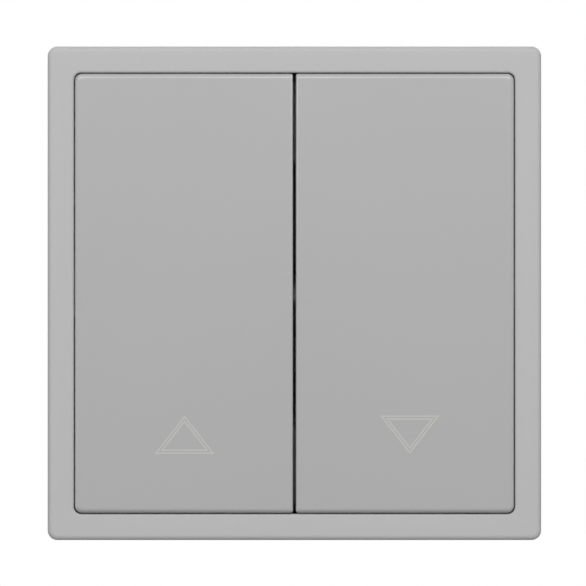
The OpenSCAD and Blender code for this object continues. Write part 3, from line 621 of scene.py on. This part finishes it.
@dataclass
class DirectionMark:
    """Fine double outline of a triangle on a rocker's face.

    Attributes:
        pole: The pole whose rocker carries it; UP points up.
        centre_x: Middle of the triangle.
        low_z: Its lowest point.
        width: Length of its level side.
        height: Height of the triangle.
        band: Distance between its two outlines.
        line: Width of one outline.
        rise: How far an outline stands out of the face.
        sunk: How far its foot reaches into the face.
        slope: Share of the line's width that each slope takes up.
        foot: Share of the rise at which the slopes start.
    """

    pole: Pole
    centre_x: float
    low_z: float
    width: float = 9.8 * MM
    height: float = 6.3 * MM
    band: float = 0.72 * MM
    line: float = 0.24 * MM
    rise: float = 0.03 * MM
    sunk: float = 0.02 * MM
    slope: float = 0.25
    foot: float = 0.3

    def corners(self) -> list[Vector]:
        """Returns the triangle's three corners in the plane of the face."""
        half = self.width / 2
        base, tip = self.low_z, self.low_z + self.height
        if self.pole is Pole.DOWN:
            base, tip = tip, base
        return [Vector((self.centre_x - half, base)), Vector((self.centre_x + half, base)),
                Vector((self.centre_x, tip))]

    def inset(self, distance: float) -> list[Vector]:
        """Moves the triangle's sides inwards.

        Args:
            distance: How far each side moves in.

        Returns:
            The three new corners.
        """
        a, b, c = self.corners()
        sides = [(b - c).length, (c - a).length, (a - b).length]
        around = sum(sides)
        heart = (a * sides[0] + b * sides[1] + c * sides[2]) / around
        inner_r = self.width * self.height / around
        share = (inner_r - distance) / inner_r
        return [heart + (corner - heart) * share for corner in (a, b, c)]

    def outline(self, name: str, start: float, face_y: float) -> bpy.types.Object:
        """Builds one outline as a low closed ridge.

        Args:
            name: Name of the piece.
            start: Distance of the ridge's outer foot from the triangle's sides.
            face_y: The rocker's face.

        Returns:
            The ridge.
        """
        foot_y = -self.foot * self.rise
        section = [(0.0, self.sunk), (0.0, foot_y), (self.slope, -self.rise),
                   (1 - self.slope, -self.rise), (1.0, foot_y), (1.0, self.sunk)]
        loops = [self.inset(start + share * self.line) for share, _ in section]
        points = []
        for corner in range(3):
            for loop, (_, lift) in zip(loops, section):
                points.append((loop[corner].x, face_y + lift, loop[corner].y))
        return new_piece(name, points, rings_to_faces(3, len(section), closed=True))

    def build(self, card: FinishCard) -> None:
        """Builds both outlines on the rocker's face.

        Args:
            card: The finishes.
        """
        face_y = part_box(f"rocker_{self.pole.word}")[0][1]
        for name, start in (("outer", 0.0), ("inner", self.band - self.line)):
            piece = self.outline(f"{self.pole.word}_mark_{name}", start, face_y)
            card.dress_piece(piece, "rocker_plastic", card.mark)
            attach(piece, f"push_{self.pole.word}")
            log.info("piece %s on the %s rocker", piece.name, self.pole.word)


@dataclass
class PushField:
    """Cover frame and the two push rockers with their marks.

    Attributes:
        mark_up_x: Middle of the upward mark.
        mark_down_x: Middle of the downward mark.
        mark_low_z: Lowest point of both marks.
    """

    mark_up_x: float = -18.0 * MM
    mark_down_x: float = 18.9 * MM
    mark_low_z: float = -26.35 * MM

    def build(self, card: FinishCard) -> None:
        """Dresses the frame and the rockers and adds the marks.

        Args:
            card: The finishes.
        """
        for node in ("cover_frame", "rocker_up", "rocker_down"):
            card.dress_node(node)
        DirectionMark(Pole.UP, self.mark_up_x, self.mark_low_z).build(card)
        DirectionMark(Pole.DOWN, self.mark_down_x, self.mark_low_z).build(card)


@dataclass
class PlateSet:
    """Support plate with its frame springs, rivets and the screws of the cover behind it."""

    nodes: tuple[str, ...] = ("support_plate", "frame_spring_left", "frame_spring_right",
                              "spring_rivets", "cover_screws")

    def build(self, card: FinishCard) -> None:
        """Dresses the plate's pieces.

        Args:
            card: The finishes.
        """
        for node in self.nodes:
            card.dress_node(node)


@dataclass
class CoilSpring:
    """A coil spring wound finer than its CAD solid, with closed ends.

    Attributes:
        node: CAD node that it stands for.
        body: Body that it rides on.
        joint: Joint that presses it together; not used.
        turns: Number of turns, as in the CAD solid.
        wire_r: Radius of the wire.
        mean_r: Radius of the coil, at the middle of the wire.
        fixed_front: Whether its front end stays in place while the rear one moves; not used.
        travel: How far the moving end comes at the joint's limit; not used.
        steps: Rings of points in one turn.
        around: Points round the wire.
        closed_turns: Turns that lie close together at each end.
        closed_pitch: Pitch of those turns, in radii of the wire.
    """

    node: str
    body: str
    joint: str
    turns: int
    wire_r: float
    mean_r: float
    fixed_front: bool
    travel: float
    steps: int = 28
    around: int = 12
    closed_turns: float = 0.8
    closed_pitch: float = 2.1

    def lift(self, turn: float, rise: float) -> float:
        """Gives the height of the wire after a number of turns.

        Args:
            turn: Turns from the start.
            rise: Height from the first turn to the last.

        Returns:
            The height in metres.
        """
        end_pitch = self.closed_pitch * self.wire_r
        open_turns = self.turns - 2 * self.closed_turns
        mid_pitch = (rise - 2 * self.closed_turns * end_pitch) / open_turns
        if turn < self.closed_turns:
            return turn * end_pitch
        if turn > self.turns - self.closed_turns:
            return rise - (self.turns - turn) * end_pitch
        return self.closed_turns * end_pitch + (turn - self.closed_turns) * mid_pitch

    def build(self, card: FinishCard) -> None:
        """Winds the spring along Y inside the box of its CAD solid.

        Args:
            card: The finishes.
        """
        low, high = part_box(self.node)
        centre_x, centre_z = (low[0] + high[0]) / 2, (low[2] + high[2]) / 2
        rise = high[1] - low[1] - 2 * self.wire_r
        rings = self.turns * self.steps + 1
        points = []
        for ring in range(rings):
            turn = ring / self.steps
            angle = 2 * math.pi * turn
            height = high[1] - self.wire_r - self.lift(turn, rise)
            for k in range(self.around):
                tilt = 2 * math.pi * k / self.around
                reach = self.mean_r + self.wire_r * math.cos(tilt)
                points.append((centre_x + reach * math.cos(angle),
                               height - self.wire_r * math.sin(tilt),
                               centre_z + reach * math.sin(angle)))
        piece = new_piece(f"{self.node}_wound", points,
                          rings_to_faces(rings, self.around, closed=False))
        piece.data.shade_smooth()
        card.dress_piece(piece, "spring_steel")
        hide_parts(self.node)
        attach(piece, self.body)
        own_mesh(piece)
        log.info("piece %s, %d turns", piece.name, self.turns)


@dataclass
class PressWorks:
    """Bearing cover, pin, actuators, plungers and their coil springs.

    Attributes:
        nodes: The CAD nodes that are dressed as they are.
        return_travel: How far a pressed rocker shortens its return spring.
        plunge: How far a plunger shortens its spring.
    """

    nodes: tuple[str, ...] = ("bearing_cover", "pivot_pin", "actuator_up", "actuator_down",
                              "plunger_up", "plunger_down")
    return_travel: float = 0.9 * MM
    plunge: float = 0.6 * MM

    def build(self, card: FinishCard) -> None:
        """Dresses the moving parts behind the rockers and winds their springs.

        Args:
            card: The finishes.
        """
        for node in self.nodes:
            card.dress_node(node)
        for pole in Pole:
            CoilSpring(f"return_spring_{pole.word}", "insert", f"press_{pole.word}", turns=7,
                       wire_r=0.25 * MM, mean_r=1.75 * MM, fixed_front=False,
                       travel=self.return_travel).build(card)
            CoilSpring(f"plunger_spring_{pole.word}", f"push_{pole.word}", f"plunge_{pole.word}",
                       turns=5, wire_r=0.2 * MM, mean_r=1.5 * MM, fixed_front=True,
                       travel=self.plunge).build(card)


@dataclass
class ContactSet:
    """Seesaws, bus bars and silver tips."""

    nodes: tuple[str, ...] = ("contact_rocker_up", "contact_rocker_down", "moving_tips_up",
                              "moving_tips_down", "line_contact", "interlock_link",
                              "make_contact_up", "make_contact_down", "fixed_tips")

    def build(self, card: FinishCard) -> None:
        """Dresses the contacts.

        Args:
            card: The finishes.
        """
        for node in self.nodes:
            card.dress_node(node)


@dataclass
class RearHousing:
    """Rear housing with its port blocks, release buttons and clamping springs.

    Attributes:
        terminals: Words of the three terminals in node and joint names.
        edge: Width of the broken edges of blocks and buttons.
        mark_size: Width of the triangle beside a switched terminal.
        mark_gap: From the release button to the triangle's middle.
        mark_rise: How far the triangle stands out of the rear wall.
        spring_travel: How far a pressed button pushes its clamping spring; not used.
    """

    terminals: tuple[str, ...] = ("up", "line", "down")
    edge: float = 0.1 * MM
    mark_size: float = 2.0 * MM
    mark_gap: float = 2.2 * MM
    mark_rise: float = 0.06 * MM
    spring_travel: float = 1.08 * MM

    def build(self, card: FinishCard) -> None:
        """Dresses the housing, gives each terminal its own copy of its clamping spring and marks
        the switched terminals.

        Args:
            card: The finishes.
        """
        card.dress_node("base_housing")
        for word in self.terminals:
            for node in (f"port_block_{word}", f"release_button_{word}"):
                card.dress_node(node, self.edge)
        for word in self.terminals:
            self.clamping_spring(word, card)
        for pole in Pole:
            self.terminal_mark(pole, card)

    def terminal_mark(self, pole: Pole, card: FinishCard) -> None:
        """Adds the small triangle that tells a terminal's direction, below its release button.

        Args:
            pole: The pole of the terminal; UP points up.
            card: The finishes.
        """
        low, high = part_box(f"release_button_{pole.word}")
        rear_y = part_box("base_housing")[1][1]
        centre_x = (low[0] + high[0]) / 2
        centre_z = low[2] - self.mark_gap
        half = self.mark_size / 2
        tip = -pole.value * half
        outline = [(centre_x - half, centre_z - tip), (centre_x + half, centre_z - tip),
                   (centre_x, centre_z + tip)]
        points = [(x, y, z) for y in (rear_y - self.mark_rise, rear_y + self.mark_rise)
                  for x, z in outline]
        piece = new_piece(f"terminal_mark_{pole.word}", points, rings_to_faces(2, 3, closed=False))
        card.dress_piece(piece, "housing_plastic", card.terminal_mark)
        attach(piece, "insert")
        log.info("piece %s", piece.name)

    def clamping_spring(self, word: str, card: FinishCard) -> None:
        """Copies a terminal's clamping spring into a piece of its own.

        Args:
            word: The terminal's word.
            card: The finishes.
        """
        node = f"terminal_spring_{word}"
        piece = twin_of(node, f"clamping_spring_{word}")
        piece.data.shade_smooth()
        card.dress_piece(piece, "spring_steel")
        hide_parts(node)
        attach(piece, "insert")
        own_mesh(piece)
        log.info("piece %s", piece.name)


@dataclass
class ThreadedScrew:
    """Claw screw with a real thread and a cross-recessed head, in place of its plain CAD solid.

    Attributes:
        side: Side of the switch that it is on.
        crest_r: Radius over the thread.
        root_r: Radius under the thread.
        pitch: Distance from one turn to the next.
        head_r: Radius of the head.
        head_h: Height of the head.
        head_edge: Width of the rounding at the head's front edge.
        head_fall: How far the head's flat front stands out of that rounding.
        point_l: Length of the tapered point.
        taper: Share of the radius that is left at the point and at the head's flat front.
        recess: Width across the cross recess.
        recess_depth: Depth of the recess.
        root_half: From the middle of the ridge to its foot, in pitches.
        crest_half: From the middle of the ridge to its crest's edge, in pitches.
        sunk: How far the ridge's foot reaches into the shank.
        plain_neck: Length without thread behind the head.
        plain_end: Length without thread at the point.
        around: Points in one turn of the thread.
    """

    side: Side
    crest_r: float = 1.5 * MM
    root_r: float = 1.2 * MM
    pitch: float = 0.5 * MM
    head_r: float = 2.5 * MM
    head_h: float = 1.8 * MM
    head_edge: float = 0.25 * MM
    head_fall: float = 0.12 * MM
    point_l: float = 1.0 * MM
    taper: float = 0.6
    recess: float = 3.4 * MM
    recess_depth: float = 1.1 * MM
    root_half: float = 0.44
    crest_half: float = 0.06
    sunk: float = 0.05 * MM
    plain_neck: float = 1.4 * MM
    plain_end: float = 0.6 * MM
    around: int = 24

    def lathe(self, name: str, profile: Profile,
              centre: tuple[float, float]) -> bpy.types.Object:
        """Turns a profile about an axis along Y.

        Args:
            name: Name of the piece.
            profile: Radius and Y of each point, from the first cap to the last.
            centre: X and Z of the axis.

        Returns:
            The turned piece.
        """
        points = []
        for radius, y in profile:
            for k in range(2 * self.around):
                angle = math.pi * k / self.around
                points.append((centre[0] + radius * math.cos(angle), y,
                               centre[1] + radius * math.sin(angle)))
        return new_piece(name, points,
                         rings_to_faces(len(profile), 2 * self.around, closed=False))

    def thread(self, name: str, from_y: float, to_y: float,
               centre: tuple[float, float]) -> bpy.types.Object:
        """Winds the thread's ridge round the shank.

        Args:
            name: Name of the piece.
            from_y: Where the thread starts.
            to_y: Where it ends.
            centre: X and Z of the axis.

        Returns:
            The ridge.
        """
        foot_r = self.root_r - self.sunk
        section = [(-self.root_half, foot_r), (-self.crest_half, self.crest_r),
                   (self.crest_half, self.crest_r), (self.root_half, foot_r)]
        rings = int((to_y - from_y) / self.pitch * self.around) + 1
        points = []
        for ring in range(rings):
            angle = -2 * math.pi * ring / self.around
            y = from_y + self.pitch * ring / self.around
            fade = min(1.0, ring / self.around, (rings - 1 - ring) / self.around)
            for share, radius in section:
                reach = foot_r + (radius - foot_r) * fade
                points.append((centre[0] + reach * math.cos(angle), y + share * self.pitch,
                               centre[1] + reach * math.sin(angle)))
        return new_piece(name, points, rings_to_faces(rings, len(section), closed=False))

    def cut_recess(self, head: bpy.types.Object, face_y: float,
                   centre: tuple[float, float]) -> None:
        """Cuts the cross recess into the head.

        Args:
            head: The screw's solid.
            face_y: Front of the head.
            centre: X and Z of the axis.
        """
        middle = Matrix.Translation((centre[0], face_y, centre[1]))
        scale = Matrix.Diagonal((self.recess, 2 * self.recess_depth, self.recess / 4, 1.0))
        for turn in (0.0, math.pi / 2):
            cutter = bmesh.new()
            bmesh.ops.create_cube(cutter, size=1.0)
            cutter.transform(middle @ Matrix.Rotation(turn, 4, "Y") @ scale)
            mesh = bpy.data.meshes.new("recess_cutter")
            cutter.to_mesh(mesh)
            cutter.free()
            tool = bpy.data.objects.new("recess_cutter", mesh)
            bpy.context.scene.collection.objects.link(tool)
            cut = head.modifiers.new("recess", "BOOLEAN")
            cut.operation = "DIFFERENCE"
            cut.object = tool
            settled = head.evaluated_get(bpy.context.evaluated_depsgraph_get())
            head.data = bpy.data.meshes.new_from_object(settled)
            head.modifiers.clear()
            bpy.data.objects.remove(tool)

    def build(self, card: FinishCard) -> None:
        """Builds the screw where its CAD solid stands.

        Args:
            card: The finishes.
        """
        node = f"claw_screw_{self.side.word}"
        low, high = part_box(node)
        centre = ((low[0] + high[0]) / 2, (low[2] + high[2]) / 2)
        front, back = low[1], high[1]
        neck = front + self.head_h
        profile = [(self.taper * self.head_r, front),
                   (self.head_r - self.head_edge, front + self.head_fall),
                   (self.head_r, front + 2 * self.head_edge), (self.head_r, neck),
                   (self.root_r, neck), (self.root_r, back - self.point_l),
                   (self.taper * self.root_r, back)]
        screw = self.lathe(f"{node}_turned", profile, centre)
        self.cut_recess(screw, front, centre)
        ridge = self.thread(f"{node}_thread", neck + self.plain_neck, back - self.plain_end,
                            centre)
        for piece in (screw, ridge):
            SoftEdges.on(piece)
            card.dress_piece(piece, "screw_steel")
            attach(piece, f"screw_{self.side.word}")
            log.info("piece %s", piece.name)
        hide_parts(node)


@dataclass
class ClawPair:
    """Spreading claws with their nuts and screws.

    Attributes:
        edge: Width of the broken edges of claws and nuts.
    """

    edge: float = 0.08 * MM

    def build(self, card: FinishCard) -> None:
        """Dresses the claws and nuts and cuts the screws' threads.

        Args:
            card: The finishes.
        """
        for side in Side:
            for node in (f"claw_{side.word}", f"claw_nut_{side.word}"):
                card.dress_node(node, self.edge)
            ThreadedScrew(side).build(card)


@dataclass
class Studio:
    """Camera, lamps, world and floor.

    Attributes:
        image_px: Width of the photograph.
        object_px: Width of the cover frame in it.
        centre_px: Where the middle of the frame is in it.
        distance: From the camera to the frame's rim.
        rim_depth: From the frame's front to its rim's widest point.
        film_mm: Width of the camera's film.
        near_clip: Nearest distance that the camera shows.
        far_clip: Farthest distance that it shows.
        box_azimuth: Angle between the view and each of the two softboxes.
        box_elevation: Height of the softboxes as an angle.
        box_distance: From the softboxes to the switch.
        box_size: Width and height of a softbox.
        box_power: Power of a softbox in watts.
        wing_azimuth: Angle between the view and each of the two wide lamps beside the switch.
        wing_lift: Height of those lamps above the switch's middle.
        wing_size: Their width and height.
        wing_power: Power of each in watts.
        fill_below: Level of the fill light from straight below.
        fill_above: Level of the fill light from straight above.
        back_place: Where the lamp behind the right side stands; the other mirrors it.
        back_size: Width and height of the two lamps behind.
        back_power: Power of each in watts.
        white: Colour of the fill light and of the background.
        floor_z: Height of the floor.
        floor_half: Half the floor's width.
        paper: Finish of the floor.
    """

    image_px: float = 586.0
    object_px: float = 493.5
    centre_px: tuple[float, float] = (294.4, 293.3)
    distance: float = 0.95
    rim_depth: float = 0.9 * MM
    film_mm: float = 36.0
    near_clip: float = 0.05
    far_clip: float = 20.0
    box_azimuth: float = math.radians(21)
    box_elevation: float = math.radians(28)
    box_distance: float = 0.75
    box_size: tuple[float, float] = (0.3, 0.4)
    box_power: float = 2.7
    wing_azimuth: float = math.radians(74)
    wing_lift: float = 0.0
    wing_size: tuple[float, float] = (0.45, 0.3)
    wing_power: float = 0.7
    fill_below: float = 0.0
    fill_above: float = 0.14
    back_place: Point = (0.6, 0.75, 0.5)
    back_size: tuple[float, float] = (0.4, 0.4)
    back_power: float = 4.0
    white: Point = (1.0, 1.0, 1.0)
    floor_z: float = -290 * MM
    floor_half: float = 300 * MM
    paper: Finish = MouldedPlastic("floor_paper", (0.62, 0.62, 0.62), 0.8, Grain.SMOOTH, 0.2)

    def camera(self) -> None:
        """Sets the camera straight in front of the switch, as the photograph has it."""
        low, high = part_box("cover_frame")
        rim_y = low[1] + self.rim_depth
        per_px = (high[0] - low[0]) / self.object_px
        view_w = per_px * self.image_px
        data = bpy.data.cameras.new("camera")
        data.sensor_width = self.film_mm
        data.lens = data.sensor_width * self.distance / view_w
        data.clip_start = self.near_clip
        data.clip_end = self.far_clip
        camera = bpy.data.objects.new("camera", data)
        middle_px = self.image_px / 2
        camera.location = (-(self.centre_px[0] - middle_px) * per_px, rim_y - self.distance,
                           (self.centre_px[1] - middle_px) * per_px)
        camera.rotation_euler = (math.pi / 2, 0.0, 0.0)
        bpy.context.scene.collection.objects.link(camera)
        bpy.context.scene.camera = camera
        log.info("camera at %.3f m, lens %.1f mm", self.distance, data.lens)

    def lamp(self, name: str, place: Point, size: tuple[float, float], power: float) -> None:
        """Adds a soft lamp that faces the middle of the switch.

        Args:
            name: Name of the lamp.
            place: Where it stands.
            size: Its width and height.
            power: Its power in watts.
        """
        data = bpy.data.lights.new(name, "AREA")
        data.shape = "RECTANGLE"
        data.size, data.size_y = size
        data.energy = power
        lamp = bpy.data.objects.new(name, data)
        lamp.location = place
        lamp.rotation_euler = (-Vector(place)).to_track_quat("-Z", "Y").to_euler()
        bpy.context.scene.collection.objects.link(lamp)

    def world(self) -> None:
        """Fills in light, less of it from below, and shows white to camera and reflections."""
        world = bpy.data.worlds.new("studio_world")
        bpy.context.scene.world = world
        world.use_nodes = True
        tree = world.node_tree
        tree.nodes.clear()
        rays = tree.nodes.new("ShaderNodeLightPath")
        seen = math_node(tree, "MAXIMUM", rays.outputs["Is Camera Ray"],
                         rays.outputs["Is Glossy Ray"])
        seen = math_node(tree, "MAXIMUM", seen, rays.outputs["Is Transmission Ray"])
        direction = tree.nodes.new("ShaderNodeTexCoord")
        split = tree.nodes.new("ShaderNodeSeparateXYZ")
        tree.links.new(direction.outputs["Generated"], split.inputs["Vector"])
        fill = tree.nodes.new("ShaderNodeMapRange")
        fill.inputs["From Min"].default_value = -1.0
        fill.inputs["To Min"].default_value = self.fill_below
        fill.inputs["To Max"].default_value = self.fill_above
        tree.links.new(split.outputs["Z"], fill.inputs["Value"])
        level = tree.nodes.new("ShaderNodeMapRange")
        level.inputs["To Max"].default_value = 1.0
        tree.links.new(fill.outputs["Result"], level.inputs["To Min"])
        tree.links.new(seen, level.inputs["Value"])
        light = tree.nodes.new("ShaderNodeBackground")
        light.inputs["Color"].default_value = (*self.white, 1.0)
        tree.links.new(level.outputs["Result"], light.inputs["Strength"])
        end = tree.nodes.new("ShaderNodeOutputWorld")
        tree.links.new(light.outputs["Background"], end.inputs["Surface"])

    def floor(self) -> None:
        """Lays a pale floor below the switch, outside the photograph's view."""
        half = self.floor_half
        corners = [(x, y, self.floor_z)
                   for x, y in ((-half, -half), (half, -half), (half, half), (-half, half))]
        floor = new_piece("studio_floor", corners, [(0, 1, 2, 3)])
        floor.data.materials.append(self.paper.material())

    def build(self) -> None:
        """Sets up the whole studio."""
        self.camera()
        self.world()
        self.floor()
        reach = self.box_distance * math.cos(self.box_elevation)
        lift = self.box_distance * math.sin(self.box_elevation)
        for side in Side:
            place = (side.value * reach * math.sin(self.box_azimuth),
                     -reach * math.cos(self.box_azimuth), lift)
            self.lamp(f"softbox_{side.word}", place, self.box_size, self.box_power)
            wing_place = (side.value * self.box_distance * math.sin(self.wing_azimuth),
                          -self.box_distance * math.cos(self.wing_azimuth), self.wing_lift)
            self.lamp(f"wing_{side.word}", wing_place, self.wing_size, self.wing_power)
            back_x, back_y, back_z = self.back_place
            self.lamp(f"back_lamp_{side.word}", (side.value * back_x, back_y, back_z),
                      self.back_size, self.back_power)
        bpy.context.scene.view_settings.view_transform = "Standard"
        log.info("studio is set")


def main() -> None:
    """Builds and dresses the switch, one sub-assembly after the other."""
    logging.basicConfig(level=logging.INFO, format="%(name)s: %(message)s")
    card = FinishCard()
    Studio().build()
    for assembly in (PushField(), PlateSet(), PressWorks(), ContactSet(), RearHousing(),
                     ClawPair()):
        assembly.build(card)


if __name__ == "__main__":
    main()
